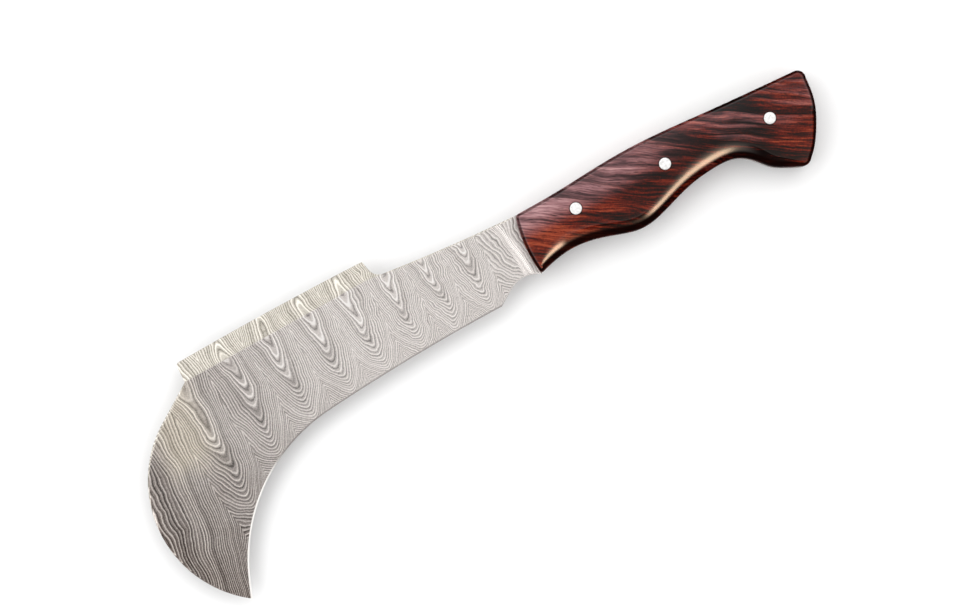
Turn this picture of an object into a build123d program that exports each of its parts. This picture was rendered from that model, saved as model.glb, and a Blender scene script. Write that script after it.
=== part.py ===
from build123d import *
import os

# Hook knife with a full tang: a hooked blade, two riveted wooden scales and three pins.
# The outline is drawn with its zero at the handle's front end, on the spine, +X to the butt,
# +Y from the cutting edge to the spine. The knife lies on its right-hand scale.

# Driving dimensions, in mm
tang_thickness = 4.5
bond_thickness = 0.15
scale_thickness = 7.6
edge_thickness = 0.4
grind_width = 62.0
grind_middle = 34.0
grind_middle_thickness = 3.2
shoulder_radius = 3.0
pin_radius = 2.5
pin_clearance = 0.02
pin_front_xy = (23.3, -8.9)
pin_middle_xy = (64.2, -9.3)
pin_rear_xy = (111.0, -12.3)
plunge_x = -9.0
plunge_length = 4.5

# Cutting edge: a long shallow arc from the heel, a tight one round the hook, then one to the tip
edge_heading = (-0.99981, -0.0192)
edge_radius = 887.7
edge_turn = 5.4
hook_radius = 73.2
hook_turn = 60.7

# Bevel of the raised back edge: (height on the blade, half thickness) where the ramp starts
# and where it would come to nothing, at its end by the hook and at its end by the handle
bevel_hook_x = -158.0
bevel_hook_low = (-1.2, 2.49)
bevel_hook_high = (12.0, -0.18)
bevel_handle_x = -62.0
bevel_handle_low = (2.3, 2.04)
bevel_handle_high = (14.6, -0.18)

# Cutting shapes reach past the steel that they take away
cutter_ahead = 8.0
cutter_above = 2.0
cutter_past_tip = 12.0
clear = 0.01

half_tang = tang_thickness / 2
half_bonded = half_tang + bond_thickness
half_handle = half_bonded + scale_thickness
half_edge = edge_thickness / 2
half_middle = grind_middle_thickness / 2
cutter_top = half_tang + cutter_above

# The row's zero is on the resting face, under the middle pin
knife = Plane(origin=(-pin_middle_xy[0], -pin_middle_xy[1], half_handle))

heel = (-22.0, -30.8)
tip = (-168.5, -91.0)
front_low = (-1.3, -26.2)

# Handle outline, shared by the tang, the scales and the bond layers
with BuildLine() as handle_outline:
    handle_spine = Spline((0, 0), (20, 0.9), (40, 2.6), (56, 3.3), (90, 2.0), (128.8, 0.4))
    crown = TangentArc(handle_spine @ 1, (132.0, -4.2), tangent=handle_spine % 1)
    butt = Spline(crown @ 1, (131.0, -13.5), (126.6, -24.2), (121.3, -32.2), (118.4, -35.2))
    beak = TangentArc(butt @ 1, (114.2, -36.0), tangent=butt % 1)
    belly = Spline(
        beak @ 1,
        (108.5, -33.6),
        (102.3, -29.8),
        (97.3, -24.4),
        (91.5, -20.7),
        (82.0, -20.0),
        (70.0, -21.8),
        (57.0, -26.0),
        (44.5, -28.6),
        (31.0, -25.4),
        (14.5, -22.8),
        (5.0, -24.3),
        front_low,
    )
    handle_front = ThreePointArc(front_low, (-2.2, -13.0), (0, 0))

# Blade outline, closed inside the handle
with BuildLine() as blade_outline:
    spine = ThreePointArc((0, 0), (-30, 1.3), (-59.5, 3.7))
    notch = TangentArc(spine @ 1, (-64.0, 7.6), tangent=spine % 1)
    step = Line(notch @ 1, (-65.0, 12.0))
    back_edge = ThreePointArc(step @ 1, (-108.0, 11.4), (-152.2, 9.7))
    back_step = Line(back_edge @ 1, (-152.5, 1.2))
    back_slope = Line(back_step @ 1, (-168.5, -9.7))
    hook_back = TangentArc(back_slope @ 1, tip, tangent=back_slope % 1)
    edge_straight = JernArc(heel, edge_heading, edge_radius, edge_turn)
    edge_hook = JernArc(edge_straight @ 1, edge_straight % 1, hook_radius, hook_turn)
    edge_tip = TangentArc(edge_hook @ 1, tip, tangent=edge_hook % 1)
    choil = Spline(heel, (-17.5, -27.8), (-13.0, -25.2), (-7.0, -24.3), front_low)
    blade_close = Line(front_low, (0, 0))

# Line that the hollow grind follows, from the plunge past the tip
with BuildLine(knife) as grind_path:
    run_in = Line((plunge_x, heel[1] - edge_heading[1] * (plunge_x - heel[0])), heel)
    path_straight = JernArc(heel, edge_heading, edge_radius, edge_turn)
    path_hook = JernArc(path_straight @ 1, path_straight % 1, hook_radius, hook_turn)
    path_tip = TangentArc(path_hook @ 1, tip, tangent=path_hook % 1)
    run_out = Line(path_tip @ 1, path_tip @ 1 + (path_tip % 1) * cutter_past_tip)

os.makedirs("parts", exist_ok=True)

# Blade and full tang, one piece of layered steel
with BuildPart() as blade:
    with BuildSketch(knife):
        with BuildLine():
            add(handle_outline.line)
        make_face()
        with BuildLine():
            add(blade_outline.line)
        make_face()
    extrude(amount=half_tang, both=True)

    # Hollow grind on both faces, from the cutting edge to the back
    section_plane = Plane(
        origin=grind_path.line @ 0, x_dir=(0, 1, 0), z_dir=grind_path.line % 0
    )
    with BuildSketch(section_plane):
        with BuildLine():
            hollow = ThreePointArc(
                (0, half_edge),
                (grind_middle, half_middle),
                (grind_width, half_tang),
            )
            Polyline(
                hollow @ 1,
                (grind_width, cutter_top),
                (-cutter_ahead, cutter_top),
                (-cutter_ahead, half_edge),
                hollow @ 0,
            )
        make_face()
        mirror(about=Plane.XZ)
    sweep(path=grind_path.line, mode=Mode.SUBTRACT)

    # Plunge: the ramp from the grind up to the flat ricasso
    plunge_start = Plane(
        origin=knife.from_local_coords(Vector(plunge_x, heel[1], 0)),
        x_dir=(0, 1, 0),
        z_dir=(1, 0, 0),
    )
    with BuildSketch(plunge_start):
        with BuildLine():
            Polyline(
                (-cutter_ahead, half_edge),
                (0, half_edge),
                (grind_middle, half_middle),
                (grind_width, half_tang),
                (grind_width, cutter_top),
                (-cutter_ahead, cutter_top),
                close=True,
            )
        make_face()
    with BuildSketch(plunge_start.offset(plunge_length)):
        with BuildLine():
            Polyline(
                (-cutter_ahead, half_tang + clear),
                (0, half_tang + clear),
                (grind_middle, half_tang + 2 * clear),
                (grind_width, half_tang + 3 * clear),
                (grind_width, cutter_top),
                (-cutter_ahead, cutter_top),
                close=True,
            )
        make_face()
    plunge = loft(ruled=True, mode=Mode.PRIVATE)
    add(plunge, mode=Mode.SUBTRACT)
    mirror(plunge, about=knife, mode=Mode.SUBTRACT)

    # Bevel of the raised back edge: a ramp from the shoulder line to the thin top
    bevel_front = Plane(
        origin=knife.from_local_coords(Vector(bevel_hook_x, 0, 0)),
        x_dir=(0, 1, 0),
        z_dir=(1, 0, 0),
    )
    with BuildSketch(bevel_front):
        with BuildLine():
            Polyline(
                bevel_hook_low,
                bevel_hook_high,
                (bevel_hook_high[0] + cutter_above, cutter_top),
                (bevel_hook_low[0], cutter_top),
                close=True,
            )
        make_face()
    with BuildSketch(bevel_front.offset(bevel_handle_x - bevel_hook_x)):
        with BuildLine():
            Polyline(
                bevel_handle_low,
                bevel_handle_high,
                (bevel_handle_high[0] + cutter_above, cutter_top),
                (bevel_handle_low[0], cutter_top),
                close=True,
            )
        make_face()
    bevel = loft(ruled=True, mode=Mode.PRIVATE)
    add(bevel, mode=Mode.SUBTRACT)
    mirror(bevel, about=knife, mode=Mode.SUBTRACT)

    # Pin holes through the tang
    with BuildSketch(knife):
        with Locations(pin_front_xy, pin_middle_xy, pin_rear_xy):
            Circle(pin_radius + pin_clearance)
    extrude(amount=half_handle, both=True, mode=Mode.SUBTRACT)

blade.part.label = "blade"
export_step(blade.part, "parts/blade.step")

# Left scale, on top as the knife lies, with its outer edges rounded to the hand
with BuildPart() as scale_left:
    with BuildSketch(knife.offset(half_bonded)):
        with BuildLine():
            add(handle_outline.line)
        make_face()
    extrude(amount=scale_thickness)
    fillet(scale_left.edges().group_by(Axis.Z)[-1], shoulder_radius)
    with BuildSketch(knife):
        with Locations(pin_front_xy, pin_middle_xy, pin_rear_xy):
            Circle(pin_radius + pin_clearance)
    extrude(amount=half_handle, mode=Mode.SUBTRACT)

scale_left.part.label = "scale_left"
export_step(scale_left.part, "parts/scale_left.step")

# Right scale, the mirror image, whose flat outer face the knife rests on
with BuildPart() as scale_right:
    mirror(scale_left.part, about=knife)

scale_right.part.label = "scale_right"
export_step(scale_right.part, "parts/scale_right.step")

# Cured bonding layers between the tang and the scales
with BuildPart() as bond_left:
    with BuildSketch(knife.offset(half_tang)):
        with BuildLine():
            add(handle_outline.line)
        make_face()
        with Locations(pin_front_xy, pin_middle_xy, pin_rear_xy):
            Circle(pin_radius + pin_clearance, mode=Mode.SUBTRACT)
    extrude(amount=bond_thickness)

bond_left.part.label = "bond_left"
export_step(bond_left.part, "parts/bond_left.step")

with BuildPart() as bond_right:
    mirror(bond_left.part, about=knife)

bond_right.part.label = "bond_right"
export_step(bond_right.part, "parts/bond_right.step")

# Pins, through both scales and the tang, ground flush with the wood
with BuildPart() as pin_front:
    with BuildSketch(knife):
        with Locations(pin_front_xy):
            Circle(pin_radius)
    extrude(amount=half_handle, both=True)

pin_front.part.label = "pin_front"
export_step(pin_front.part, "parts/pin_front.step")

with BuildPart() as pin_middle:
    with BuildSketch(knife):
        with Locations(pin_middle_xy):
            Circle(pin_radius)
    extrude(amount=half_handle, both=True)

pin_middle.part.label = "pin_middle"
export_step(pin_middle.part, "parts/pin_middle.step")

with BuildPart() as pin_rear:
    with BuildSketch(knife):
        with Locations(pin_rear_xy):
            Circle(pin_radius)
    extrude(amount=half_handle, both=True)

pin_rear.part.label = "pin_rear"
export_step(pin_rear.part, "parts/pin_rear.step")
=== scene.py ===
import math

import bmesh
import bpy
import numpy as np
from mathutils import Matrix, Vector
from mathutils.geometry import delaunay_2d_cdt


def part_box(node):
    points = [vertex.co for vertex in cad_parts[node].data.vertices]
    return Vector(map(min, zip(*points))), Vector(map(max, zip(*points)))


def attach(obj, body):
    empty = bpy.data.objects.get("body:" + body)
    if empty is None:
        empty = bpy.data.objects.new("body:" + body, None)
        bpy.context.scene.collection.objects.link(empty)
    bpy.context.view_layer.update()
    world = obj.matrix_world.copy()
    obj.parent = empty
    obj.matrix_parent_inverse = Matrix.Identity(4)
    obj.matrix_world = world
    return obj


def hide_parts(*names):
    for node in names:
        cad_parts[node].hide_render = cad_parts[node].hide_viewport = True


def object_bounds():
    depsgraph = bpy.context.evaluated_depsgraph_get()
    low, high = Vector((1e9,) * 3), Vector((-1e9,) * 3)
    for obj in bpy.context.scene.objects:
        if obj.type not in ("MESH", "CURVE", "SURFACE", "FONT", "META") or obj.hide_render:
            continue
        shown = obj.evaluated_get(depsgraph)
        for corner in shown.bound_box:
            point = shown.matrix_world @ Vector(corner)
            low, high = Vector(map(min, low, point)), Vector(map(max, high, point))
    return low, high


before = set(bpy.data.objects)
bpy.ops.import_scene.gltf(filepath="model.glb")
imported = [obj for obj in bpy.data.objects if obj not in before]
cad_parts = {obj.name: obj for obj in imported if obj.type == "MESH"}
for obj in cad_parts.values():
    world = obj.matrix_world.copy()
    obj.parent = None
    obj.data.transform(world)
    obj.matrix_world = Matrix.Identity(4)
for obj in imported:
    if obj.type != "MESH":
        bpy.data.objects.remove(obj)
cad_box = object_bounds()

# A hook knife: a hooked blade of layered steel with a full tang, and two riveted wooden scales.
# Outlines are drawn in millimetres with their zero at the handle's front end, on the spine,
# +X to the butt and +Y to the spine. The frame's boxes say where that zero lies in the frame.

MM = 0.001


# -------- places, from the frame

def box_mm(node):
    """A node's lowest and highest corner, in millimetres."""
    low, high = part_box(node)
    return np.array(low) / MM, np.array(high) / MM


PIN_MIDDLE_XY = np.array([64.2, -9.3])
PIN_CLEARANCE = 0.03  # gap between a pin and the holes that it goes through
pin_low, pin_high = box_mm("pin_middle")
ZERO_XY = (pin_low + pin_high)[:2] / 2 - PIN_MIDDLE_XY
MID_Z = float(pin_low[2] + pin_high[2]) / 2
PIN_RADIUS = float(pin_high[0] - pin_low[0]) / 2
HOLE_RADIUS = PIN_RADIUS + PIN_CLEARANCE
HALF_TANG = float(box_mm("blade")[1][2]) - MID_Z
HALF_BONDED = float(box_mm("bond_left")[1][2]) - MID_Z
HALF_HANDLE = float(box_mm("scale_left")[1][2]) - MID_Z


def pin_places():
    """The middle of each pin, in the drawing."""
    places = {}
    for name in ("pin_front", "pin_middle", "pin_rear"):
        low, high = box_mm(name)
        places[name] = (low + high)[:2] / 2 - ZERO_XY
    return places


PIN_PLACES = pin_places()


# -------- curves

def unit(v):
    """v at a length of one."""
    return v / np.linalg.norm(v)


def turned(v, angle):
    """v turned to the left by angle."""
    c, s = math.cos(angle), math.sin(angle)
    return np.array([c * v[0] - s * v[1], s * v[0] + c * v[1]])


def turn_between(v, w):
    """The angle from v to w, positive to the left."""
    return math.atan2(v[0] * w[1] - v[1] * w[0], v @ w)


def arc(start, heading, radius, angle, step):
    """Points of an arc that leaves start along heading and turns left by angle, and its last heading."""
    start, heading = np.array(start, float), unit(np.array(heading, float))
    side = math.copysign(1, angle)
    centre = start + side * radius * turned(heading, math.pi / 2)
    count = max(2, int(abs(angle) * radius / step) + 1)
    points = [centre + turned(start - centre, a) for a in np.linspace(0, angle, count)]
    return np.array(points), turned(heading, angle)


def arc_to(start, heading, end, step):
    """The arc that leaves start along heading and ends at end."""
    chord = np.array(end, float) - np.array(start, float)
    heading = unit(np.array(heading, float))
    half = turn_between(heading, chord)
    radius = np.linalg.norm(chord) / (2 * abs(math.sin(half)))
    return arc(start, heading, radius, 2 * half, step)[0]


def arc_through(start, middle, end, step):
    """The arc from start to end through middle."""
    a, b, c = (np.array(p, float) for p in (start, middle, end))
    return arc_to(start, turned(unit(c - a), -turn_between(b - a, c - b)), end, step)


def spline(points, step):
    """A smooth cubic curve through points."""
    p = np.array(points, float)
    t = np.concatenate([[0], np.cumsum(np.linalg.norm(np.diff(p, axis=0), axis=1))])
    h, count = np.diff(t), len(t)
    matrix, right = np.zeros((count, count)), np.zeros((count, 2))
    matrix[0, 0] = matrix[-1, -1] = 1
    for i in range(1, count - 1):
        matrix[i, i - 1:i + 2] = h[i - 1], 2 * (h[i - 1] + h[i]), h[i]
        right[i] = 6 * ((p[i + 1] - p[i]) / h[i] - (p[i] - p[i - 1]) / h[i - 1])
    bend = np.linalg.solve(matrix, right)
    q = np.linspace(0, t[-1], max(2, int(t[-1] / step) + 1))
    i = np.clip(np.searchsorted(t, q, side="right") - 1, 0, count - 2)
    after, before, hi = (t[i + 1] - q)[:, None], (q - t[i])[:, None], h[i][:, None]
    return (
        (bend[i] * after**3 + bend[i + 1] * before**3) / (6 * hi)
        + (p[i] / hi - bend[i] * hi / 6) * after
        + (p[i + 1] / hi - bend[i + 1] * hi / 6) * before
    )


def joined(*runs):
    """One polyline from runs that follow each other."""
    return np.concatenate([runs[0], *(run[1:] for run in runs[1:])])


def at_x(line, x):
    """The y of a polyline that runs along X, at x."""
    order = np.argsort(line[:, 0])
    return float(np.interp(x, line[order, 0], line[order, 1]))


def smooth(t):
    """A soft step: 0 up to t = 0, 1 from t = 1."""
    t = min(1.0, max(0.0, t))
    return t * t * (3 - 2 * t)


# -------- outlines

STEP = 0.8  # distance between the points of a long curve
FINE_STEP = 0.4  # and of a short one
CORNER_STEP = 0.3  # and of a tight one

HEEL = np.array([-22.0, -30.8])
TIP = np.array([-168.5, -91.0])
FRONT_TOP = (0, 0)
FRONT_LOW = (-1.3, -26.2)

# The handle, round from its front end's top to its bottom
handle_spine = spline([FRONT_TOP, (20, 0.9), (40, 2.6), (56, 3.3), (90, 2.0), (128.8, 0.4)], STEP)
crown = arc_to(handle_spine[-1], handle_spine[-1] - handle_spine[-2], (132.0, -4.2), FINE_STEP)
butt = spline([crown[-1], (131.0, -13.5), (126.6, -24.2), (121.3, -32.2), (118.4, -35.2)], STEP)
beak = arc_to(butt[-1], butt[-1] - butt[-2], (114.2, -36.0), CORNER_STEP)
belly = spline(
    [beak[-1], (108.5, -33.6), (102.3, -29.8), (97.3, -24.4), (91.5, -20.7), (82.0, -20.0),
     (70.0, -21.8), (57.0, -26.0), (44.5, -28.6), (31.0, -25.4), (14.5, -22.8), (5.0, -24.3),
     FRONT_LOW],
    STEP,
)
handle_front = arc_through(FRONT_LOW, (-2.2, -13.0), FRONT_TOP, FINE_STEP)
choil = spline([HEEL, (-17.5, -27.8), (-13.0, -25.2), (-7.0, -24.3), FRONT_LOW], FINE_STEP)

# The blade's back: spine, raised part with a shoulder line at the foot of its bevel, slope, hook
NOTCH = (-59.5, 3.7)  # where the spine ends and the raised part's front rises
RISER = (-64.0, 7.6)  # where that front turns straight and steep
RAISED_FRONT = (-65.0, 12.0)
RAISED_REAR = (-152.2, 9.7)
SHOULDER_END = (-152.5, 1.2)
SLOPE_END = (-168.5, -9.7)
spine = arc_through(FRONT_TOP, (-30, 1.3), NOTCH, STEP)
notch = arc_to(spine[-1], spine[-1] - spine[-2], RISER, CORNER_STEP)
back_edge = arc_through(RAISED_FRONT, (-108.0, 11.4), RAISED_REAR, STEP)
shoulder = spline([NOTCH, (-66.0, 4.0), (-80.0, 3.6), (-110.0, 2.5), SHOULDER_END], STEP)
back_slope = (SHOULDER_END, (-157.8, -2.4), (-163.2, -6.1), SLOPE_END)
hook_back = arc_to(SLOPE_END, (-16.0, -10.9), TIP, STEP)

# The cutting edge: radius and degrees of its first two arcs. The third one ends at the tip.
EDGE_HEADING = np.array([-0.99981, -0.0192])
EDGE_TURNS = ((887.7, 5.4), (73.2, 60.7))


def cutting_edge():
    """The arcs of the cutting edge from the heel to the tip: centre, radius, first and last point."""
    arcs = []
    start, heading = HEEL, EDGE_HEADING
    for radius, degrees in EDGE_TURNS:
        points, next_heading = arc(start, heading, radius, math.radians(degrees), STEP)
        arcs.append((start + radius * turned(heading, math.pi / 2), radius, start, points[-1]))
        start, heading = points[-1], next_heading
    chord = TIP - start
    radius = np.linalg.norm(chord) / (2 * math.sin(turn_between(heading, chord)))
    arcs.append((start + radius * turned(heading, math.pi / 2), radius, start, TIP))
    return arcs


EDGE_ARCS = cutting_edge()


def swept(first, q, centre):
    """The angle from first to q as seen from centre, positive to the left."""
    bearing_q = math.atan2(q[1] - centre[1], q[0] - centre[0])
    bearing_first = math.atan2(first[1] - centre[1], first[0] - centre[0])
    return (bearing_q - bearing_first + math.pi) % (2 * math.pi) - math.pi


def edge_point(p):
    """The point of the cutting edge straight across the grind from p."""
    for centre, radius, first, last in EDGE_ARCS:
        if swept(first, p, centre) <= swept(first, last, centre) + 1e-9:
            return centre + radius * unit(p - centre)
    return TIP


# -------- mesh making

MERGE_DIGITS = 4  # points that agree to this many decimals are one vertex
ROUND_SIDES = 48  # corners of a round hole or pin


class Skin:
    """Vertices and faces of a piece, in the drawing's millimetres."""

    def __init__(self):
        self.points, self.found, self.faces = [], {}, []

    def vertex(self, x, y, z):
        key = tuple(round(number, MERGE_DIGITS) for number in (x, y, z))
        if key not in self.found:
            self.found[key] = len(self.points)
            self.points.append((x, y, z))
        return self.found[key]

    def face(self, corners):
        """Adds a face, less its doubled corners, unless nothing is left of it."""
        ring = [c for i, c in enumerate(corners) if c != corners[i - 1]]
        if len(set(ring)) == len(ring) > 2:
            self.faces.append(tuple(ring))

    def sheet(self, rows):
        """Quads between rows of vertices."""
        for low, high in zip(rows, rows[1:]):
            for i in range(len(low) - 1):
                self.face((low[i], low[i + 1], high[i + 1], high[i]))

    def rims(self):
        """Directed edges that only one face has."""
        seen = {}
        for face in self.faces:
            for a, b in zip(face, face[1:] + face[:1]):
                seen[(a, b)] = seen.get((a, b), 0) + 1
        return [e for e in seen if (e[1], e[0]) not in seen]

    def look_up(self):
        """Turns every face so that it looks up."""
        for i, face in enumerate(self.faces):
            p = np.array([self.points[k][:2] for k in face])
            q = np.roll(p, -1, axis=0)
            if (p[:, 0] * q[:, 1] - p[:, 1] * q[:, 0]).sum() < 0:
                self.faces[i] = face[::-1]

    def close_with_mirror(self):
        """Adds the other face of the steel, and the walls between the two."""
        walls, top = self.rims(), list(self.faces)
        other = {}
        for i, (x, y, z) in enumerate(list(self.points)):
            other[i] = self.vertex(x, y, -z)
        for face in top:
            self.face(tuple(other[i] for i in reversed(face)))
        for a, b in walls:
            self.face((b, a, other[a], other[b]))

    def put_on_side(self, side):
        """Leaves the piece on the left side, or mirrors it to the right one."""
        self.points = [(x, y, side * z) for x, y, z in self.points]

    def piece(self, name, sharp_degrees):
        """The Blender object, with corners over sharp_degrees kept sharp."""
        mesh = bpy.data.meshes.new(name)
        in_frame = [
            ((x + ZERO_XY[0]) * MM, (y + ZERO_XY[1]) * MM, (z + MID_Z) * MM)
            for x, y, z in self.points
        ]
        mesh.from_pydata(in_frame, [], self.faces)
        cleaner = bmesh.new()
        cleaner.from_mesh(mesh)
        loose = [v for v in cleaner.verts if not v.link_faces]
        bmesh.ops.delete(cleaner, geom=loose, context="VERTS")
        bmesh.ops.recalc_face_normals(cleaner, faces=cleaner.faces)
        cleaner.to_mesh(mesh)
        cleaner.free()
        mesh.shade_smooth()
        mesh.set_sharp_from_angle(angle=math.radians(sharp_degrees))
        piece = bpy.data.objects.new(name, mesh)
        bpy.context.collection.objects.link(piece)
        return piece


def circle(centre, radius):
    """The corners of a round hole or ring."""
    turns = np.linspace(0, 2 * math.pi, ROUND_SIDES, endpoint=False)
    return np.array([centre + radius * np.array([math.cos(a), math.sin(a)]) for a in turns])


PIN_HOLES = [circle(place, HOLE_RADIUS) for place in PIN_PLACES.values()]


def inside_loop(p, loop):
    """Whether p is inside a closed loop."""
    x, y = loop[:, 0], loop[:, 1]
    nx, ny = np.roll(x, -1), np.roll(y, -1)
    crosses = ((y > p[1]) != (ny > p[1])) & (p[0] < (nx - x) * (p[1] - y) / (ny - y + 1e-12) + x)
    return bool(crosses.sum() % 2)


def gap_to(p, loop):
    """Distance from p to a closed loop."""
    a, b = loop, np.roll(loop, -1, axis=0)
    ab = b - a
    t = np.clip(((p - a) * ab).sum(1) / ((ab**2).sum(1) + 1e-12), 0, 1)
    return float(np.linalg.norm(a + ab * t[:, None] - p, axis=1).min())


def filled(loop, inside):
    """Points and triangles over a closed loop and the pins' holes in it."""
    points, edges = [], []
    for ring in (loop, *PIN_HOLES):
        first = len(points)
        points += [Vector(p) for p in ring]
        edges += [(first + i, first + (i + 1) % len(ring)) for i in range(len(ring))]
    points += [Vector(p) for p in inside]
    out, _, triangles, *_ = delaunay_2d_cdt(points, edges, [], 0, 1e-6)
    return [np.array(p) for p in out], triangles


def add_fill(skin, loop, height, inside=()):
    """Fills a loop, less the pins' holes, at the height that a function gives."""
    points, triangles = filled(loop, inside)
    ids = [skin.vertex(p[0], p[1], height(p)) for p in points]
    for triangle in triangles:
        middle = sum(points[i] for i in triangle) / 3
        if inside_loop(middle, loop) and not any(inside_loop(middle, hole) for hole in PIN_HOLES):
            skin.face(tuple(ids[i] for i in triangle))


# -------- blade and tang

EDGE_HALF = 0.2  # half thickness where the grind meets the small cutting bevel
CUTTING_BEVEL = 0.7  # its width
KEEN_HALF = 0.03  # half thickness left at the cutting edge itself
TIP_HALF = 0.04  # and at the tip
GRIND_RISE = 0.05103  # half thickness gained per mm away from the edge
GRIND_CROWN = 0.00029  # and lost again per square mm
TOP_HALF = 0.35  # half thickness along the raised back edge
PLUNGE_FROM = -9.0  # the grind ends here
PLUNGE_TO = -4.5  # and the flat ricasso starts here
EDGE_LEVEL = -30.6  # level from which the grind rises beside the ricasso
BARE_FROM = -1.5  # ahead of this the steel is clear of the handle, its edges rounded
BARE_FADE = 1.5
ROUND_FROM = -152.4  # and the hook's back is rounded from here on
TANG_FROM = 1.5  # inside the handle, where the plain tang takes over
CHOIL_ROUND = 0.7  # width of the rounding along the choil

ROW_STEP = 0.9  # distance between rows of vertices
FIRST_BACK_X = -22.6  # place of the first row that starts at the cutting edge
RISER_XS = (-64.0, -64.3, -64.6, -64.9, -65.0)  # rows up the riser
# Rows at the raised part's rounded rear corner, and how far each of them is cut
CORNER_DROPS = {-151.2: 0.0, -151.7: 0.12, -152.1: 0.35, -152.5: 0.9}
NEAR_EDGE = (0, 0.12, 0.35, 0.7)  # vertices of a row by the edge, in mm
NEAR_BACK = (1.0, 0.62, 0.3, 0.1, 0)  # and by the back, in widths of its rounding
ROW_MIDDLE = 34  # and between the two, with one of each
FULL_ROW = 8.0  # rows shorter than this, near the tip, have both drawn together


def grind_half(d):
    """Half thickness of the slightly crowned grind at distance d from the cutting edge."""
    return EDGE_HALF + GRIND_RISE * d - GRIND_CROWN * d * d


def ricasso_share(x, y):
    """0 on the grind, 1 on the flat ricasso, rising across the curved plunge."""
    along = x + 0.07 * (y + 12) + 0.012 * max(0.0, y + 14) ** 2
    return smooth((along - PLUNGE_FROM) / (PLUNGE_TO - PLUNGE_FROM))


def rounded_drop(gap, width, depth):
    """How far a rounded rim lies below the face, at gap from the outline."""
    if gap >= width:
        return 0.0
    return depth * (1 - math.sqrt(max(0.0, 1 - (1 - gap / width) ** 2)))


def rim_of_back(p):
    """Width and depth of the rounding along the blade's back at p."""
    x = p[0]
    if x > NOTCH[0] - 0.5:
        return 0.5, 0.3 * smooth((BARE_FROM - x) / BARE_FADE) * smooth((x - NOTCH[0]) / 3)
    if x > ROUND_FROM:
        return 0.7, 0.0
    grow = smooth((ROUND_FROM - x) / 3)
    near_tip = smooth(np.linalg.norm(p - TIP) / 12)
    return 0.7 + 0.2 * grow, 0.35 * grow * near_tip


def half_by_ricasso(p, gap):
    """Half thickness at p, gap above the choil."""
    ground = grind_half(max(0.0, p[1] - EDGE_LEVEL))
    half = ground + (HALF_TANG - ground) * ricasso_share(p[0], p[1])
    bare = smooth((BARE_FROM - p[0]) / BARE_FADE)
    return half - rounded_drop(gap, CHOIL_ROUND, min(0.5, 0.6 * half) * bare)


def half_by_edge(_, gap):
    """Half thickness at gap from the cutting edge."""
    if gap < CUTTING_BEVEL:
        return KEEN_HALF + (grind_half(CUTTING_BEVEL) - KEEN_HALF) * gap / CUTTING_BEVEL
    return grind_half(gap)


def choil_lines():
    """Lines from the belly or the choil up to the spine, from the tang to the heel."""
    belly_front = belly[belly[:, 0] < 12]
    coarse = np.round(np.arange(-21.6, TANG_FROM, 0.75), 3)
    over_plunge = np.round(np.arange(-10.5, -2.6, 0.35), 3)
    lines = []
    for x in sorted({*coarse, *over_plunge, TANG_FROM}, reverse=True):
        low = at_x(choil, x) if x < FRONT_LOW[0] else at_x(belly_front, x)
        high = at_x(spine, x) if x < 0 else at_x(handle_spine, x)
        lines.append((np.array([x, low]), np.array([x, high])))
    return lines


def shoulder_points():
    """Points of the shoulder line from the notch to its end, with the rows that its corners need."""
    regular = np.round(np.arange(-60.2, -151, -ROW_STEP), 3)
    xs = sorted({*regular, NOTCH[0], *RISER_XS, *CORNER_DROPS}, reverse=True)
    return [np.array([x, at_x(shoulder, x)]) for x in xs]


def edge_lines():
    """Lines from the cutting edge across the grind to the back, from the heel to the tip."""
    spine_xs = np.arange(FIRST_BACK_X, NOTCH[0] + 0.1, -ROW_STEP)
    backs = [np.array([x, at_x(spine, x)]) for x in spine_xs]
    backs += shoulder_points()
    backs += list(joined(spline(back_slope, ROW_STEP), hook_back)[1:])
    return [(HEEL, backs[0])] + [(edge_point(back), back) for back in backs[1:]]


def ground_row(skin, low, high, half_at):
    """Vertices across the blade from low to high, with its half thickness from a function."""
    length = np.linalg.norm(high - low)
    if length < 1e-6:
        tip = skin.vertex(*low, TIP_HALF)
        return [tip] * (len(NEAR_EDGE) + ROW_MIDDLE - 2 + len(NEAR_BACK))
    shrink = min(1.0, length / FULL_ROW)
    rim_width, rim_depth = rim_of_back(high)
    near = np.array(NEAR_EDGE) * shrink
    far = length - np.array(NEAR_BACK) * rim_width * shrink
    middle = np.linspace(near[-1], far[0], ROW_MIDDLE)[1:-1]
    row = []
    for gap in (*near, *middle, *far):
        p = low + (high - low) * gap / length
        half = half_at(p, gap)
        half -= rounded_drop(length - gap, rim_width * shrink, rim_depth * shrink)
        row.append(skin.vertex(p[0], p[1], max(half, KEEN_HALF)))
    return row


def raised_top(x, straight_top):
    """Level of the raised back's top: up the notch, up the riser, then straight to the corner."""
    if x >= RISER[0]:
        return at_x(notch, x)
    if x > RAISED_FRONT[0]:
        share = (RISER[0] - x) / (RISER[0] - RAISED_FRONT[0])
        return RISER[1] + (RAISED_FRONT[1] - RISER[1]) * share
    return straight_top - CORNER_DROPS.get(round(float(x), 1), 0)


def raised_row(skin, foot):
    """Vertices up the bevel of the raised back, from the shoulder line to its thin top."""
    x = foot[0]
    straight_top = at_x(back_edge, max(RAISED_REAR[0], min(RAISED_FRONT[0], x)))
    height = raised_top(x, straight_top) - foot[1]
    foot_half = grind_half(np.linalg.norm(foot - edge_point(foot)))
    row = []
    for share in (*np.linspace(0, 0.94, 10), 0.965, 0.985, 1):
        y = foot[1] + height * share
        fall = (y - foot[1]) / (straight_top - foot[1])
        half = foot_half + (TOP_HALF - foot_half) * fall
        half -= rounded_drop(height * (1 - share), min(0.4, 0.3 * height), 0.15)
        row.append(skin.vertex(x, y, half))
    return row


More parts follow.
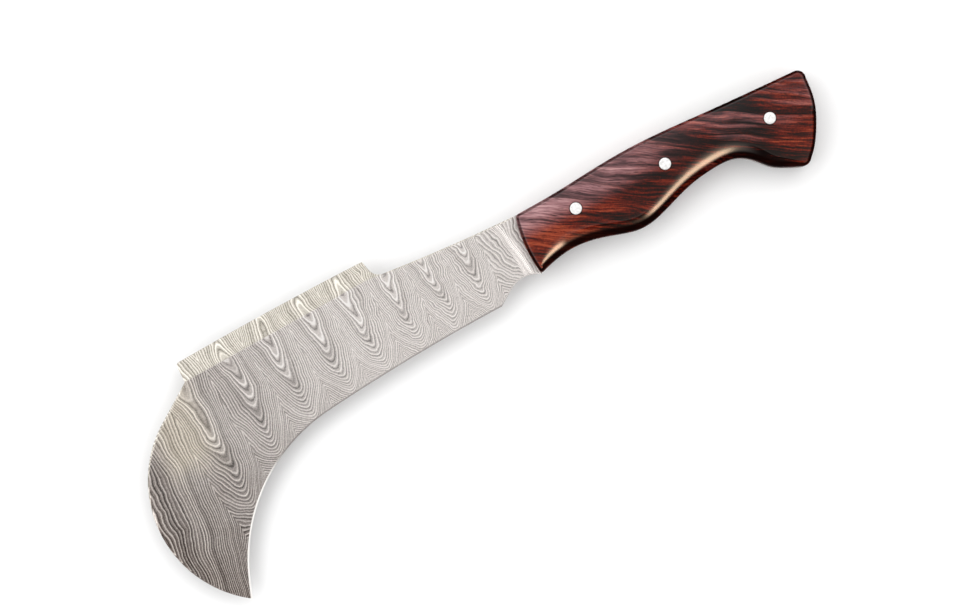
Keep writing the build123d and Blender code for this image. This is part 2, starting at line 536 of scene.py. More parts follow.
def add_tang(skin, front_row):
    """The flat tang inside the handle, from the blade's first row to the butt."""
    front = [skin.points[i][:2] for i in front_row]
    outline = joined(belly[::-1], beak[::-1], butt[::-1], crown[::-1], handle_spine[::-1])
    outline = outline[outline[:, 0] > TANG_FROM + 0.2]
    add_fill(skin, np.array([*front[::-1], *outline]), lambda p: HALF_TANG)


def make_blade():
    skin = Skin()
    rows = [ground_row(skin, low, high, half_by_ricasso) for low, high in choil_lines()]
    rows += [ground_row(skin, low, high, half_by_edge) for low, high in edge_lines()]
    skin.sheet(rows)
    skin.sheet([raised_row(skin, foot) for foot in shoulder_points()])
    add_tang(skin, rows[0])
    skin.look_up()
    skin.close_with_mirror()
    return skin.piece("blade_steel", 30)


# -------- scales, bonds and pins

CORNER = 1.6  # rounding of the scales' front corners, seen from the side
CROWN = 0.9  # how far the broad face falls from its middle line to its edges
FRONT_FALL = 0.5  # and how far it falls to its front end
FALL_LENGTH = 26.0  # over this length
PIN_DOME = 0.03  # how far the pins' middles stand proud of it
GRID_X, GRID_Y = 1.8, 1.5  # spacing of the vertices on the broad face


def corner_cut(line_in, line_out, reach):
    """The curve that replaces the corner between two polylines, and what is left of them."""
    def trimmed(line):
        gone = np.cumsum(np.linalg.norm(np.diff(line, axis=0), axis=1))
        keep = np.searchsorted(gone, reach)
        return line[keep + 1:]
    rest_in, rest_out = trimmed(line_in[::-1])[::-1], trimmed(line_out)
    a, b, c = rest_in[-1], line_in[-1], rest_out[0]
    t = np.linspace(0, 1, 9)[1:-1, None]
    return rest_in, (1 - t) ** 2 * a + 2 * t * (1 - t) * b + t**2 * c, rest_out


def scale_outline():
    """The scales' closed outline, with its front corners rounded and no points too close."""
    low, low_corner, front = corner_cut(belly, handle_front, CORNER)
    front, high_corner, high = corner_cut(front, handle_spine, CORNER)
    loop = joined(low, low_corner, front, high_corner, high, crown, butt, beak[:-1])
    keep = np.linalg.norm(loop - np.roll(loop, 1, axis=0), axis=1) > 0.05
    return loop[keep]


SCALE_LOOP = scale_outline()

# Width of the rounded shoulder along the belly, from the front corner to the beak
SHOULDER_X = (-1.3, 4.0, 8.0, 13.0, 21.0, 30.0, 42.0, 52.0, 62.0, 70.0, 82.0, 91.0, 97.0, 103.0,
              109.0, 115.0)
SHOULDER_W = (2.6, 5.4, 7.2, 8.2, 7.6, 6.4, 6.2, 6.4, 6.8, 7.8, 9.4, 8.4, 6.6, 5.4, 4.4, 2.8)
EASED = 1.8  # and of the rounding everywhere else
BUTT_EASED = 0.4  # added to it up the butt
WAY_IN_PASSES = 14  # how often the outline's bends are softened for the rounding
WIDTH_PASSES = 45  # and how often its widths are
SHOULDER_ROWS = 17


def shoulder_width(p, inward):
    """How far in from the outline the scale's rounding starts."""
    at_spine = inward[1] < -0.7 and p[1] > -5
    at_butt = p[0] > 117 or (p[0] > 112 and p[1] < -34)
    at_belly = p[1] < -18 and p[0] > -0.6
    if at_butt and not at_spine:
        return EASED + BUTT_EASED * smooth((p[1] + 33) / 10)
    if at_belly and not at_spine:
        return float(np.interp(p[0], SHOULDER_X, SHOULDER_W))
    return EASED


def softened(values, passes):
    """Values around a loop, each drawn towards its neighbours."""
    for _ in range(passes):
        values = (np.roll(values, 1) + 2 * values + np.roll(values, -1)) / 4
    return values


def face_height(p):
    """Height of the scale's broad face above the middle plane: crowned, and lower at the front."""
    x = min(116.0, max(0.0, p[0]))
    high, low = at_x(handle_spine, x), at_x(belly, x)
    across = (p[1] - (high + low) / 2) / ((high - low) / 2)
    fall = CROWN * min(1.6, abs(across) ** 2.5)
    from_front = max(0.0, 1 - (p[0] + 2) / FALL_LENGTH)
    return HALF_HANDLE - PIN_DOME - fall - FRONT_FALL * from_front ** 2


def shoulder_of(loop):
    """For each point of the outline, the way in from it and the width of the rounding there."""
    ahead, behind = np.roll(loop, -1, axis=0), np.roll(loop, 1, axis=0)
    heading = (ahead - behind) / np.linalg.norm(ahead - behind, axis=1)[:, None]
    inward = np.stack([softened(way, WAY_IN_PASSES) for way in (heading[:, 1], -heading[:, 0])], axis=1)
    widths = [shoulder_width(p, way_in) for p, way_in in zip(loop, inward)]
    return inward, softened(np.array(widths), WIDTH_PASSES)


def add_shoulder(skin, loop):
    """The rounded side of a scale, above its wall. Returns its innermost ring, closed."""
    inward, widths = shoulder_of(loop)
    heights = np.array([face_height(p) for p in loop + inward * widths[:, None]])
    # A narrow rounding sits on a tall wall, a wide one on a low wall
    wall_share = np.interp(widths, [2.4, 4.2], [0.55, 0.1])
    wall_tops = HALF_BONDED + (heights - HALF_BONDED) * wall_share
    rows = []
    for turn in np.radians(np.linspace(0, 90, SHOULDER_ROWS)):
        ring = loop + inward * (widths * (1 - math.cos(turn)))[:, None]
        lift = wall_tops + (heights - wall_tops) * math.sin(turn)
        row = [skin.vertex(*p, z) for p, z in zip(ring, lift)]
        rows.append(row + row[:1])
    skin.sheet(rows)
    return rows[-1]


def face_grid(loop):
    """Staggered points over the broad face, clear of its rim and of the pins' holes."""
    inside = []
    for j, y in enumerate(np.arange(-36, 3, GRID_Y)):
        for x in np.arange(-2 + GRID_X / 2 * (j % 2), 132, GRID_X):
            p = np.array([x, y])
            from_pin = min(np.linalg.norm(p - place) for place in PIN_PLACES.values())
            if from_pin > HOLE_RADIUS + 0.5 and inside_loop(p, loop) and gap_to(p, loop) > 0.8:
                inside.append(p)
    return inside


def make_scale(name, side):
    skin = Skin()
    rim = add_shoulder(skin, SCALE_LOOP)
    rim_loop = np.array([skin.points[i][:2] for i in rim[:-1]])
    rim_heights = {tuple(np.round(skin.points[i][:2], MERGE_DIGITS)): skin.points[i][2] for i in rim}

    def height(p):
        return rim_heights.get(tuple(np.round(p, MERGE_DIGITS)), face_height(p))

    add_fill(skin, rim_loop, height, face_grid(rim_loop))
    skin.look_up()
    walls = skin.rims()
    foot = {i: skin.vertex(*skin.points[i][:2], HALF_BONDED) for wall in walls for i in wall}
    add_fill(skin, SCALE_LOOP, lambda p: HALF_BONDED)
    for a, b in walls:
        skin.face((b, a, foot[a], foot[b]))
    skin.put_on_side(side)
    return skin.piece(name, 40)


def make_bond(name, side):
    """The thin layer between the tang and a scale: its two faces, then its walls."""
    skin = Skin()
    add_fill(skin, SCALE_LOOP, lambda p: HALF_TANG)
    skin.look_up()
    for face in list(skin.faces):
        skin.face(tuple(skin.vertex(*skin.points[i][:2], HALF_BONDED) for i in reversed(face)))
    low_rims = [e for e in skin.rims() if skin.points[e[0]][2] < HALF_BONDED - 1e-6]
    for a, b in low_rims:
        over = [skin.vertex(*skin.points[i][:2], HALF_BONDED) for i in (a, b)]
        skin.face((b, a, *over))
    skin.put_on_side(side)
    return skin.piece(name, 40)


def make_pin(name, place):
    """A pin ground flush, with a slight dome and a broken edge at each end."""
    skin = Skin()
    profile = [
        (0.0, PIN_DOME), (0.9, 0.9 * PIN_DOME), (1.6, 0.02), (2.1, 0.01),
        (PIN_RADIUS - 0.14, -0.01), (PIN_RADIUS - 0.05, -0.05), (PIN_RADIUS, -0.16),
    ]
    surface = face_height(np.array(place))
    ends = [(radius, surface + lift) for radius, lift in profile]
    ends += [(radius, -z) for radius, z in reversed(ends)]
    rows = []
    for radius, z in ends:
        ring = [skin.vertex(*corner, z) for corner in circle(place, radius)]
        rows.append(ring + ring[:1])
    skin.sheet(rows)
    return skin.piece(name, 50)


# -------- node making

class Graph:
    """Short names for making a tree of nodes."""

    def __init__(self, tree):
        self.nodes, self.links = tree.nodes, tree.links

    def node(self, kind, **settings):
        made = self.nodes.new(kind)
        for key, value in settings.items():
            setattr(made, key, value)
        return made

    def feed(self, socket, value):
        """Links a socket to a node's output, or sets it to a value."""
        if isinstance(value, bpy.types.NodeSocket):
            self.links.new(value, socket)
        else:
            socket.default_value = value

    def math(self, operation, *values):
        made = self.node("ShaderNodeMath", operation=operation)
        for socket, value in zip(made.inputs, values):
            self.feed(socket, value)
        return made.outputs[0]

    def times(self, first, *others):
        for other in others:
            first = self.math("MULTIPLY", first, other)
        return first

    def total(self, start, *parts):
        """start plus the parts, each of them a value and its weight."""
        for value, weight in parts:
            start = self.math("MULTIPLY_ADD", value, weight, start)
        return start

    def from_whole(self, value):
        """How far a value is from the nearest whole number: 0 on it, 1 midway between two."""
        return self.times(self.math("PINGPONG", value, 0.5), 2.0)

    def range(self, value, low, high, to_low=0.0, to_high=1.0, smoothly=True):
        """Maps low to to_low and high to to_high, and holds values beyond them."""
        made = self.node("ShaderNodeMapRange")
        made.interpolation_type = "SMOOTHSTEP" if smoothly else "LINEAR"
        for socket, number in zip(made.inputs, (value, low, high, to_low, to_high)):
            self.feed(socket, number)
        return made.outputs[0]

    def vector(self, x, y, z):
        made = self.node("ShaderNodeCombineXYZ")
        for socket, value in zip(made.inputs, (x, y, z)):
            self.feed(socket, value)
        return made.outputs[0]

    def split(self, vector):
        made = self.node("ShaderNodeSeparateXYZ")
        self.links.new(vector, made.inputs[0])
        return made.outputs


class Finish(Graph):
    """A material, with nodes that work in the drawing's millimetres."""

    def __init__(self, name):
        self.material = bpy.data.materials.new(name)
        self.material.use_nodes = True
        super().__init__(self.material.node_tree)
        self.shader = self.nodes["Principled BSDF"]

    def place(self):
        """The point's place in the drawing: x, y and height over the middle plane."""
        split = self.split(self.node("ShaderNodeTexCoord").outputs["Object"])
        zero = (float(ZERO_XY[0]), float(ZERO_XY[1]), MID_Z)
        return [self.math("MULTIPLY_ADD", axis, 1 / MM, -at) for axis, at in zip(split, zero)]

    def normal(self):
        """The way the surface faces, as three numbers."""
        return self.split(self.node("ShaderNodeNewGeometry").outputs["Normal"])

    def noise(self, at, scale, detail, roughness=0.5, kind="3D"):
        """Noise at a point, or along one number where kind is 1D."""
        made = self.node("ShaderNodeTexNoise", noise_dimensions=kind)
        self.feed(made.inputs["W" if kind == "1D" else "Vector"], at)
        made.inputs["Scale"].default_value = scale
        made.inputs["Detail"].default_value = detail
        made.inputs["Roughness"].default_value = roughness
        return made.outputs["Fac"]

    def wave(self, *at_and_settings, **named):
        """Noise that goes up and down from 0."""
        return self.math("SUBTRACT", self.noise(*at_and_settings, **named), 0.5)

    def pin_gap(self, x, y):
        """Distance from the nearest pin's rim, in the plane of the faces."""
        gaps = []
        for place in PIN_PLACES.values():
            dx = self.math("SUBTRACT", x, float(place[0]))
            dy = self.math("SUBTRACT", y, float(place[1]))
            square = self.math("MULTIPLY_ADD", dx, dx, self.times(dy, dy))
            gaps.append(self.math("SUBTRACT", self.math("SQRT", square), PIN_RADIUS))
        return self.math("MINIMUM", self.math("MINIMUM", gaps[0], gaps[1]), gaps[2])

    def ramp(self, value, places, colours):
        made = self.node("ShaderNodeValToRGB")
        self.feed(made.inputs[0], value)
        band = made.color_ramp
        while len(band.elements) < len(places):
            band.elements.new(0.5)
        for element, place, colour in zip(band.elements, places, colours):
            element.position = place
            element.color = (*colour, 1)
        return made.outputs[0]

    def mix(self, share, a, b):
        """Colour a, changed into colour b by share."""
        made = self.node("ShaderNodeMix", data_type="RGBA", blend_type="MIX")
        self.feed(made.inputs["Factor"], share)
        for key, value in (("A", a), ("B", b)):
            socket = [s for s in made.inputs if s.name == key and s.type == "RGBA"][0]
            self.feed(socket, (*value, 1) if isinstance(value, tuple) else value)
        return [s for s in made.outputs if s.type == "RGBA"][0]

    def bump(self, height, distance):
        made = self.node("ShaderNodeBump")
        made.inputs["Strength"].default_value = 1.0
        made.inputs["Distance"].default_value = distance
        self.links.new(height, made.inputs["Height"])
        self.links.new(made.outputs[0], self.shader.inputs["Normal"])

    def set(self, **values):
        for key, value in values.items():
            self.feed(self.shader.inputs[key.replace("_", " ")], value)


LIGHT_LEVEL = 1.35  # how brightly the studio shows a level white surface


def srgb(r, g, b):
    """Base colour of a matt surface that shows as this 8-bit colour under the studio's light."""
    shown = ((c / 255 / 12.92) if c < 10 else ((c / 255 + 0.055) / 1.055) ** 2.4 for c in (r, g, b))
    return tuple(c / LIGHT_LEVEL for c in shown)


# -------- layered steel

FIRST_RUNG = 26.0  # distance of the first rung from the handle
RUNG_RATE = 0.064  # rungs to the millimetre there
RUNG_STRETCH = -0.000064  # how the spacing opens towards the tip
LAST_RUNG = 7  # rungs, counted from 0, up to where the hook begins
RUNG_LAYERS = 8.6  # layers by which a rung bends the stack
HOOK_LAYERS = 15.0  # and what they run out into over the same length in the hook
RUNG_ROUND = 0.28  # how round the bottom of a rung's groove was, in half spacings

LAYERS = 11.0  # layers cut through between the edge and the thick of the blade
LAYER_FADE = -1.8  # how soon they are through, per mm of half thickness
LAYERS_PER_MM = 2.4  # and how many more come with every mm
BEVEL_MIDDLE = 1.65  # half thickness that the back's bevel is read from, so that its
BEVEL_SQUEEZE = 0.8  # steep cut shows layers hardly closer than the grind does

STEEL_STOPS = (0.0, 0.42, 1.0)  # etched, plain and bright layers
BRIGHT_STEEL = ((0.18, 0.166, 0.157), (0.625, 0.578, 0.552), (0.99, 0.96, 0.935))
# Painted shade: a darker copy of the steel, for the light falling off towards the tip
SHADED_TIP_STEEL = ((0.014, 0.011, 0.01), (0.158, 0.128, 0.114), (0.74, 0.67, 0.62))
# Painted reflection: a warm copy of the steel for the hook's root
PAINTED_WARM_STEEL = ((0.155, 0.132, 0.10), (0.55, 0.49, 0.41), (0.92, 0.86, 0.75))
# Painted light: a darker, warmer copy of the steel for the back's bevel, chosen by which way it faces
PAINTED_BEVEL_STEEL = ((0.15, 0.137, 0.113), (0.44, 0.41, 0.362), (0.73, 0.695, 0.63))
SHADED_EDGE = (0.10, 0.09, 0.085)  # painted shade along the straight part of the cutting bevel
EDGE_GLINT = (0.97, 0.95, 0.92)  # and a painted glint on its part inside the hook


def rung_bend(g, x, y, point):
    """How many layers the rungs pressed across the bar bend the stack by: none on a rung, most
    midway, and less and less past the first and the last of them."""
    wander = g.wave(point, 0.06, 1.0)
    ripple = g.wave(point, 0.30, 0.0)
    lean = g.range(x, -60.0, -85.0, 0.02, 0.065)
    raggedness = g.range(x, -100.0, -50.0, 0.5, 1.7)
    along = g.total(x, (g.math("ADD", y, 35.0), lean), (wander, 5.0), (ripple, raggedness))
    passed = g.math("SUBTRACT", -FIRST_RUNG, along)
    count = g.times(passed, g.total(RUNG_RATE, (passed, RUNG_STRETCH)))
    within = g.math("MINIMUM", g.math("MAXIMUM", count, -0.5), LAST_RUNG + 0.5)
    beyond = g.math("ABSOLUTE", g.math("SUBTRACT", count, within))
    away = g.from_whole(g.math("ADD", within, 1.0))
    rounded = g.math("SQRT", g.math("MULTIPLY_ADD", away, away, RUNG_ROUND**2))
    steepness = RUNG_LAYERS / (math.hypot(1.0, RUNG_ROUND) - RUNG_ROUND)
    bent = g.times(g.math("SUBTRACT", rounded, RUNG_ROUND), steepness)
    return g.total(bent, (beyond, g.range(x, -150.0, -166.0, -RUNG_LAYERS, -HOOK_LAYERS)))


def layer_at(g, x, y, point, half, bevel):
    """The number of the layer that shows at a point, with its fraction."""
    squeezed = g.times(g.math("SUBTRACT", BEVEL_MIDDLE, half), g.times(bevel, BEVEL_SQUEEZE))
    deep = g.math("SUBTRACT", g.math("ADD", half, squeezed), EDGE_HALF)
    left_over = g.math("EXPONENT", g.times(deep, LAYER_FADE))
    cut = g.total(g.times(deep, LAYERS_PER_MM), (left_over, -LAYERS))
    layer = g.math("SUBTRACT", cut, rung_bend(g, x, y, point))
    wide_waves = g.wave(point, 0.055, 1.0)
    fine_waves = g.wave(point, 0.5, 1.0)
    return g.total(layer, (wide_waves, 3.5), (fine_waves, 0.25))


def layer_tone(g, layer, point):
    """Bright and etched lines, one of each to a layer and no two alike, with a fine grain."""
    light = g.range(g.from_whole(layer), 0.42, 0.05)
    dark = g.range(g.from_whole(g.math("ADD", layer, 0.42)), 0.45, 0.0)
    strength = g.range(g.noise(layer, 0.8, 1.0, kind="1D"), 0.3, 0.7, 0.4, 1.1)
    broad = g.wave(layer, 0.4, 1.0, kind="1D")
    grain = g.wave(point, 1.9, 3.0, 0.8)
    return g.total(
        0.41, (g.times(light, strength), 0.52), (g.times(dark, strength), -0.42),
        (broad, 0.6), (grain, 1.0),
    )


def steel_colour(g, tone, x, y, point, bevel):
    """Bright by the handle, with painted shade making it darker towards the tip, a painted warm
    reflection at the hook's root, and a painted darker, warmer steel on the bevel of the back."""
    # Painted shade: the steel darkens towards the tip and on the hook's low side, for the light falling
    # off there
    below = g.times(g.math("MINIMUM", g.math("ADD", y, 30.0), 0.0), -0.7)
    to_tip = g.range(g.math("SUBTRACT", below, x), 84.0, 212.0, smoothly=False)
    cloud = g.wave(point, 0.05, 3.0, 0.6)
    painted_falloff = g.times(g.total(to_tip, (cloud, 0.5)), g.math("SUBTRACT", 1.0, bevel))
    bright = g.ramp(tone, STEEL_STOPS, BRIGHT_STEEL)
    steel = g.mix(painted_falloff, bright, g.ramp(tone, STEEL_STOPS, SHADED_TIP_STEEL))
    # Painted reflection: the hook's root turns warm and creamy, for the warm light it reflects
    root = g.times(g.range(x, -146.0, -160.0), g.range(x, -180.0, -168.0))
    painted_warmth = g.times(root, g.range(g.total(y, (cloud, 30.0)), -42.0, -24.0), 0.78)
    steel = g.mix(painted_warmth, steel, g.ramp(tone, STEEL_STOPS, PAINTED_WARM_STEEL))
    # Painted light: the back's bevel takes its own darker, warmer steel, for how light falls on it and
    # what it reflects
    return g.mix(bevel, steel, g.ramp(tone, STEEL_STOPS, PAINTED_BEVEL_STEEL))


def with_edge(g, steel, x, half):
    """The small cutting bevel: painted shade along the straight edge, a painted glint inside the hook.
    """
    cutting = g.range(half, 0.235, 0.19)
    glinting = g.range(x, -126.0, -146.0)
    # Painted shade: the straight part of the cutting bevel is darkened, for the shade along the edge
    steel = g.mix(g.times(cutting, 0.5), steel, g.mix(glinting, SHADED_EDGE, EDGE_GLINT))
    # Painted highlight: a bright glint along the cutting bevel inside the hook
    return g.mix(g.times(cutting, glinting, 0.7), steel, EDGE_GLINT)


def layered_steel():
    """Ladder-pattern steel: layers parallel to the faces, bent by the rungs and cut through by
    the grind, so that their contour lines show as nested loops that open to the spine."""
    g = Finish("layered_steel")
    x, y, z = g.place()
    point = g.vector(x, y, z)
    half = g.math("ABSOLUTE", z)
    bevel = g.range(g.normal()[1], 0.05, 0.12)
    tone = layer_tone(g, layer_at(g, x, y, point, half, bevel), point)
    steel = with_edge(g, steel_colour(g, tone, x, y, point, bevel), x, half)
    g.set(Base_Color=steel, Metallic=1.0, Roughness=g.range(tone, 0.1, 0.9, 0.52, 0.40))
    g.bump(tone, 0.00002)
    return g.material


# -------- rosewood

GRAIN_ANGLE = -31.0  # degrees: the streaks fall towards the butt
GRAIN_SWAY = 9.0  # how far they wander, in mm
GRAIN_DEPTH = 0.4  # how fast the figure changes through the wood, next to across it

WOOD_STOPS = (0.1, 0.32, 0.5, 0.72, 1.0)
WOOD_COLOURS = (
    srgb(12, 4, 4), srgb(46, 10, 6), srgb(82, 19, 10), srgb(112, 32, 16), srgb(156, 66, 40),
)
# Painted sheen: mauve-grey tones for the polish reflecting the light, mixed with the wood's own
# violet-grey streaks
SHEEN_STOPS = (0.2, 0.5, 0.85)
SHEEN_COLOURS = (srgb(92, 60, 64), srgb(160, 114, 118), srgb(212, 170, 170))
PORE_COLOUR = srgb(16, 8, 8)
# Painted shade on the rounded edges and grooves, and the colour of the real dark ring around each pin
SHADE_AND_RING_COLOUR = srgb(16, 6, 5)


def grain_directions(g, x, y, seed):
    """Distances along the grain and across it. The grain sways a little."""
    c, s = math.cos(math.radians(GRAIN_ANGLE)), math.sin(math.radians(GRAIN_ANGLE))
    along = g.math("MULTIPLY_ADD", x, c, g.times(y, s))
    across = g.math("MULTIPLY_ADD", y, c, g.times(x, -s))
    slow_place = g.vector(g.times(along, 0.02), g.times(across, 0.05), seed)
    return along, g.total(across, (g.wave(slow_place, 1.0, 2.0), GRAIN_SWAY))


def streaks(g, grain, along_rate, across_rate, detail, roughness, seed):
    """Noise drawn out along the grain, with its two rates per mm."""
    along, across, z = grain
    through = g.math("MULTIPLY_ADD", z, across_rate * GRAIN_DEPTH, seed)
    place = g.vector(g.times(along, along_rate), g.times(across, across_rate), through)
    return g.wave(place, 1.0, detail, roughness)


def wood_tone(g, x, y, z, broad, medium, fibres):
    """Light and dark of the bare wood: warmer low down in front, dusky ahead of the butt."""
    glow = g.times(g.range(x, 40.0, 2.0), g.range(y, -3.0, -15.0))
    dusk = g.times(g.range(x, 84.0, 92.0), g.range(x, 112.0, 102.0))
    rear = g.range(x, 104.0, 124.0)
    speckle = g.wave(g.vector(x, y, z), 1.1, 3.0, 0.7)
    return g.total(
        0.40, (broad, 1.1), (medium, 2.2), (fibres, 2.0), (dusk, -0.22), (speckle, 0.7),
        (glow, 0.26), (rear, 0.08),
    )


def sheen_share(g, x, y, broad, medium):
    """Where painted sheen, with some of the wood's own violet-grey streaks, makes the wood mauve: along
    the upper front, and in wisps towards the butt.
    """
    figure = g.math("ADD", medium, broad)
    upper = g.times(g.range(y, -13.0, -3.0), g.range(x, 90.0, 36.0))
    bloom = g.times(upper, g.range(figure, -0.18, 0.2, 0.3, 0.95))
    wisps = g.times(g.range(x, 62.0, 84.0), g.range(y, -22.0, -12.0))
    wisps = g.times(wisps, g.range(figure, -0.02, 0.2, 0.0, 0.24))
    return g.math("MAXIMUM", bloom, wisps)


def shade_and_ring_share(g, x, y, level, facing_y):
    """Where the wood is darkened: painted shade on its rounded edges, more where they face the belly,
    less on the palm ridge and on the upright walls; and a real thin dark ring around each pin."""
    palm = g.times(g.range(x, 50.0, 60.0), g.range(x, 98.0, 88.0))
    # Painted shade: rounded edges that face the belly darken most
    away = g.range(facing_y, -0.2, 0.35, 0.95, 0.6)
    edge_shade = g.times(g.range(level, 0.96, 0.80), g.total(away, (palm, -0.5)))
    edge_shade = g.times(edge_shade, g.range(level, 0.1, 0.5, 0.45, 1.0))
    return g.math("MAXIMUM", edge_shade, g.range(g.pin_gap(x, y), 0.55, 0.05, 0.0, 0.75))


def polish_share(g, x, y, level, steep):
    """The coat of polish: on the faces and the palm ridge, worn off in the finger grooves, and
    thin on the upright walls."""
    front_groove = g.times(g.range(x, 9.0, 15.0), g.range(x, 55.0, 44.0))
    groove = g.math("MAXIMUM", front_groove, g.range(x, 94.0, 103.0))
    low_rounding = g.times(g.range(y, -15.0, -19.0), g.range(level, 0.995, 0.97))
    kept = g.range(g.times(groove, low_rounding), 0.0, 1.0, 0.62, 0.04)
    wall = g.range(level, 0.4, 0.15, 0.0, 0.25)
    return g.total(wall, (g.math("SUBTRACT", 1.0, steep), kept))


def rosewood(name, seed):
    """Dark polished wood: long slanted streaks, fine fibres and pores."""
    g = Finish(name)
    x, y, z = g.place()
    grain = (*grain_directions(g, x, y, seed), z)
    broad = streaks(g, grain, 0.010, 0.11, 3.0, 0.55, seed)
    medium = streaks(g, grain, 0.022, 0.42, 4.0, 0.65, seed + 5.0)
    fibres = streaks(g, grain, 0.09, 1.25, 3.0, 0.65, seed + 9.0)
    pores = g.range(streaks(g, grain, 0.22, 2.6, 1.0, 0.5, seed + 14.0), 0.13, 0.2)

    wood = g.ramp(wood_tone(g, x, y, z, broad, medium, fibres), WOOD_STOPS, WOOD_COLOURS)
    # Painted sheen, partly the wood's own violet-grey streaks, along the upper front and in wisps
    # towards the butt
    sheen = g.ramp(g.total(0.5, (fibres, 1.4), (medium, 1.0)), SHEEN_STOPS, SHEEN_COLOURS)
    wood = g.mix(sheen_share(g, x, y, broad, medium), wood, sheen)
    wood = g.mix(g.times(pores, 0.7), wood, PORE_COLOUR)

    normal = g.normal()
    level = g.math("ABSOLUTE", normal[2])
    steep = g.range(level, 0.86, 0.74)
    # Painted shade on the rounded edges and grooves, with the real dark ring around each pin
    wood = g.mix(shade_and_ring_share(g, x, y, level, normal[1]), wood, SHADE_AND_RING_COLOUR)
    g.set(Base_Color=wood, Roughness=g.range(g.math("ADD", fibres, steep), -0.2, 1.0, 0.34, 0.6))
    g.set(Coat_Weight=polish_share(g, x, y, level, steep))
    g.set(Coat_Roughness=0.29, Specular_IOR_Level=0.0)
    g.bump(g.total(fibres, (pores, -0.7)), 0.00006)
    return g.material


# -------- pins, bond and floor finishes

PIN_STOPS = (0.0, 0.5, 0.8)
PIN_COLOURS = ((0.26, 0.255, 0.25), (0.86, 0.85, 0.835), (0.98, 0.97, 0.96))


def satin_pin():
    """Ground pin ends: fine scratches one way, faint blotches, greyer at the broken rim."""
    g = Finish("satin_pin")
    x, y, z = g.place()
    scratches = g.wave(g.vector(g.times(x, 0.8), g.times(y, 9.0), z), 1.0, 3.0, 0.6)
    blotches = g.wave(g.vector(x, y, z), 0.9, 2.0)
    tone = g.total(0.5, (blotches, 0.6), (scratches, 0.7))
    tone = g.times(tone, g.range(g.pin_gap(x, y), -0.45, 0.0, 1.0, 0.55))
    metal = g.ramp(tone, PIN_STOPS, PIN_COLOURS)
    g.set(Base_Color=metal, Metallic=1.0, Roughness=g.range(scratches, -0.3, 0.3, 0.42, 0.55))
    g.bump(scratches, 0.00001)
    return g.material


def cured_bond():
    """The thin dark seam of epoxy under each scale."""
    g = Finish("cured_bond")
    cloud = g.noise(g.vector(*g.place()), 1.3, 3.0, 0.6)
    amber = g.ramp(cloud, (0.3, 0.7), (srgb(26, 14, 10), srgb(62, 36, 26)))
    g.set(Base_Color=amber, Roughness=g.range(cloud, 0.3, 0.7, 0.22, 0.42))
    return g.material


def floor_paint():
    """Plain pale matt paint."""
    g = Finish("floor_paint")
    g.set(Base_Color=(0.87, 0.87, 0.87, 1), Roughness=0.6)
    return g.material


# -------- the knife

def finished(piece, node, material):
    """Gives a piece its material, and its place in the frame."""
    piece.data.materials.append(material)
    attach(piece, "root")
    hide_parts(node)
    return piece


def make_knife():
    """All the pieces. Returns the two scales."""
    finished(make_blade(), "blade", layered_steel())
    scales = []
    bond_material, pin_material = cured_bond(), satin_pin()
    for side_name, side, seed in (("left", 1, 3.0), ("right", -1, 9.0)):
        scale = make_scale(f"scale_{side_name}_wood", side)
        wood = rosewood(f"rosewood_{side_name}", seed)
        scales.append(finished(scale, f"scale_{side_name}", wood))
        bond = make_bond(f"bond_{side_name}_layer", side)
        finished(bond, f"bond_{side_name}", bond_material)
    for name, place in PIN_PLACES.items():
        finished(make_pin(name + "_steel", place), name, pin_material)
    return scales


# -------- floor, lights, camera

FRAME_WIDTH = 0.3968  # metres across the picture, at the knife
ROLL = math.radians(-27.2)  # the knife's length climbs to the right in the picture
CAMERA_DISTANCE = 1.6
SENSOR_WIDTH = 36  # mm
AIM_X, AIM_Y = -0.0009, 0.0120  # where the camera aims, from the middle of the knife

KEY_DIRECTION = (-0.30, 0.62, 0.72)
SKY_LEVEL = 1.02  # brightness low down, all round
KEY_LEVEL = 0.7  # added where the key direction is

STRIP_PLACE = (0.30, -1.03, 0.78)
STRIP_COLOUR = (1.0, 0.70, 0.47)


def make_floor(middle, level):
    """A plain square floor, 8 m wide, that the knife lies on."""
    floor_mesh = bpy.data.meshes.new("floor")
    reach = 4.0
    corners = [(-reach, -reach, 0), (reach, -reach, 0), (reach, reach, 0), (-reach, reach, 0)]
    floor_mesh.from_pydata(corners, [], [(0, 1, 2, 3)])
    floor = bpy.data.objects.new("floor", floor_mesh)
    floor.location = (middle.x, middle.y, level)
    floor.data.materials.append(floor_paint())
    bpy.context.collection.objects.link(floor)


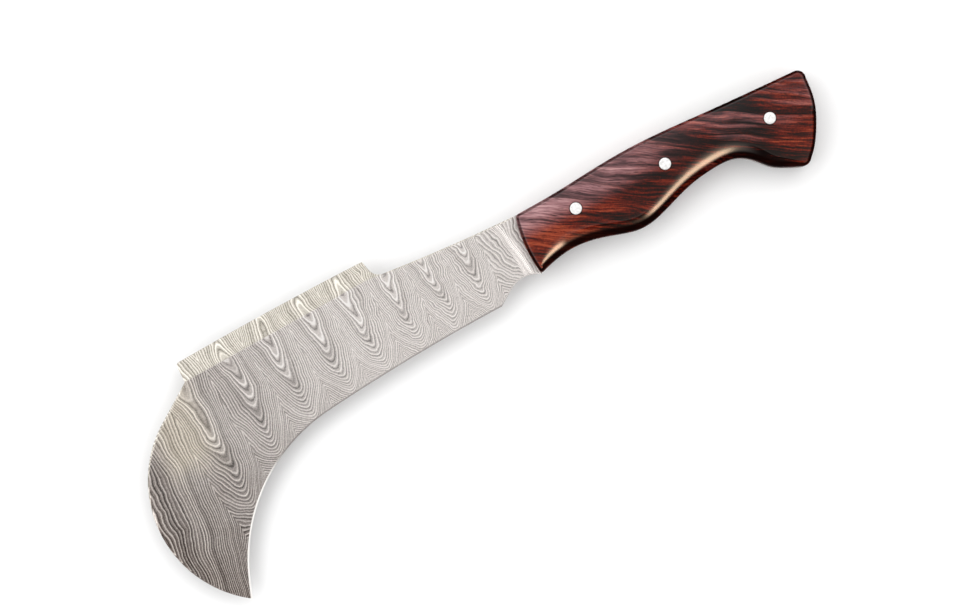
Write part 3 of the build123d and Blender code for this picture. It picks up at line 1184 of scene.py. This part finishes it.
def make_strip_light(middle, lit):
    """A warm lamp that only the glossy surfaces of the pieces in lit show, as a highlight."""
    light = bpy.data.lights.new("strip", "AREA")
    light.shape = "RECTANGLE"
    light.size = 0.8
    light.size_y = 0.6
    light.energy = 62
    light.color = STRIP_COLOUR
    lamp = bpy.data.objects.new("strip", light)
    lamp.location = middle + Vector(STRIP_PLACE)
    lamp.rotation_euler = (-Vector(STRIP_PLACE)).to_track_quat("-Z", "Y").to_euler()
    lamp.visible_diffuse = False
    receivers = bpy.data.collections.new("strip_receivers")
    for piece in lit:
        receivers.objects.link(piece)
    lamp.light_linking.receiver_collection = receivers
    bpy.context.collection.objects.link(lamp)


def make_sky():
    """The studio: pale low down, brighter high up and brightest from beyond the spine, dimmer on
    the cutting edge's side, with the dark patch overhead that a camera and its stand leave."""
    world = bpy.data.worlds.new("studio")
    world.use_nodes = True
    g = Graph(world.node_tree)
    direction = g.node("ShaderNodeTexCoord").outputs["Generated"]
    _, across, up = g.split(direction)
    facing = g.node("ShaderNodeVectorMath", operation="DOT_PRODUCT")
    g.feed(facing.inputs[0], direction)
    g.feed(facing.inputs[1], Vector(KEY_DIRECTION).normalized())
    key = g.range(facing.outputs["Value"], 0.5, 1.0, 0.0, KEY_LEVEL)
    side = g.range(across, 0.0, -0.5, 0.78, 0.12)
    high_up = g.range(up, 0.33, 0.62)
    patch = g.range(up, 0.91, 0.98, 1.0, 0.05)
    lamps = g.times(high_up, g.math("ADD", side, key))
    background = g.nodes["Background"]
    g.feed(background.inputs["Color"], (1.0, 1.0, 1.0, 1))
    g.feed(background.inputs["Strength"], g.times(g.math("ADD", lamps, SKY_LEVEL), patch))
    bpy.context.scene.world = world
    bpy.context.scene.view_settings.view_transform = "Standard"


def make_camera(middle, top):
    """A camera straight above the knife, turned so that the handle is up on the right."""
    camera_data = bpy.data.cameras.new("camera")
    camera_data.sensor_width = SENSOR_WIDTH
    camera_data.lens = SENSOR_WIDTH * CAMERA_DISTANCE / FRAME_WIDTH
    camera_data.clip_start, camera_data.clip_end = 0.05, 20
    camera = bpy.data.objects.new("camera", camera_data)
    aim = Vector((middle.x + AIM_X, middle.y + AIM_Y, top * 0.6))
    camera.location = aim + Vector((0, 0, CAMERA_DISTANCE))
    camera.rotation_euler = (0, 0, ROLL)
    bpy.context.collection.objects.link(camera)
    bpy.context.scene.camera = camera


knife_low, knife_high = cad_box
knife_middle = (knife_low + knife_high) / 2
handle = make_knife()
make_floor(knife_middle, knife_low.z)
make_strip_light(knife_middle, handle)
make_sky()
make_camera(knife_middle, knife_high.z)
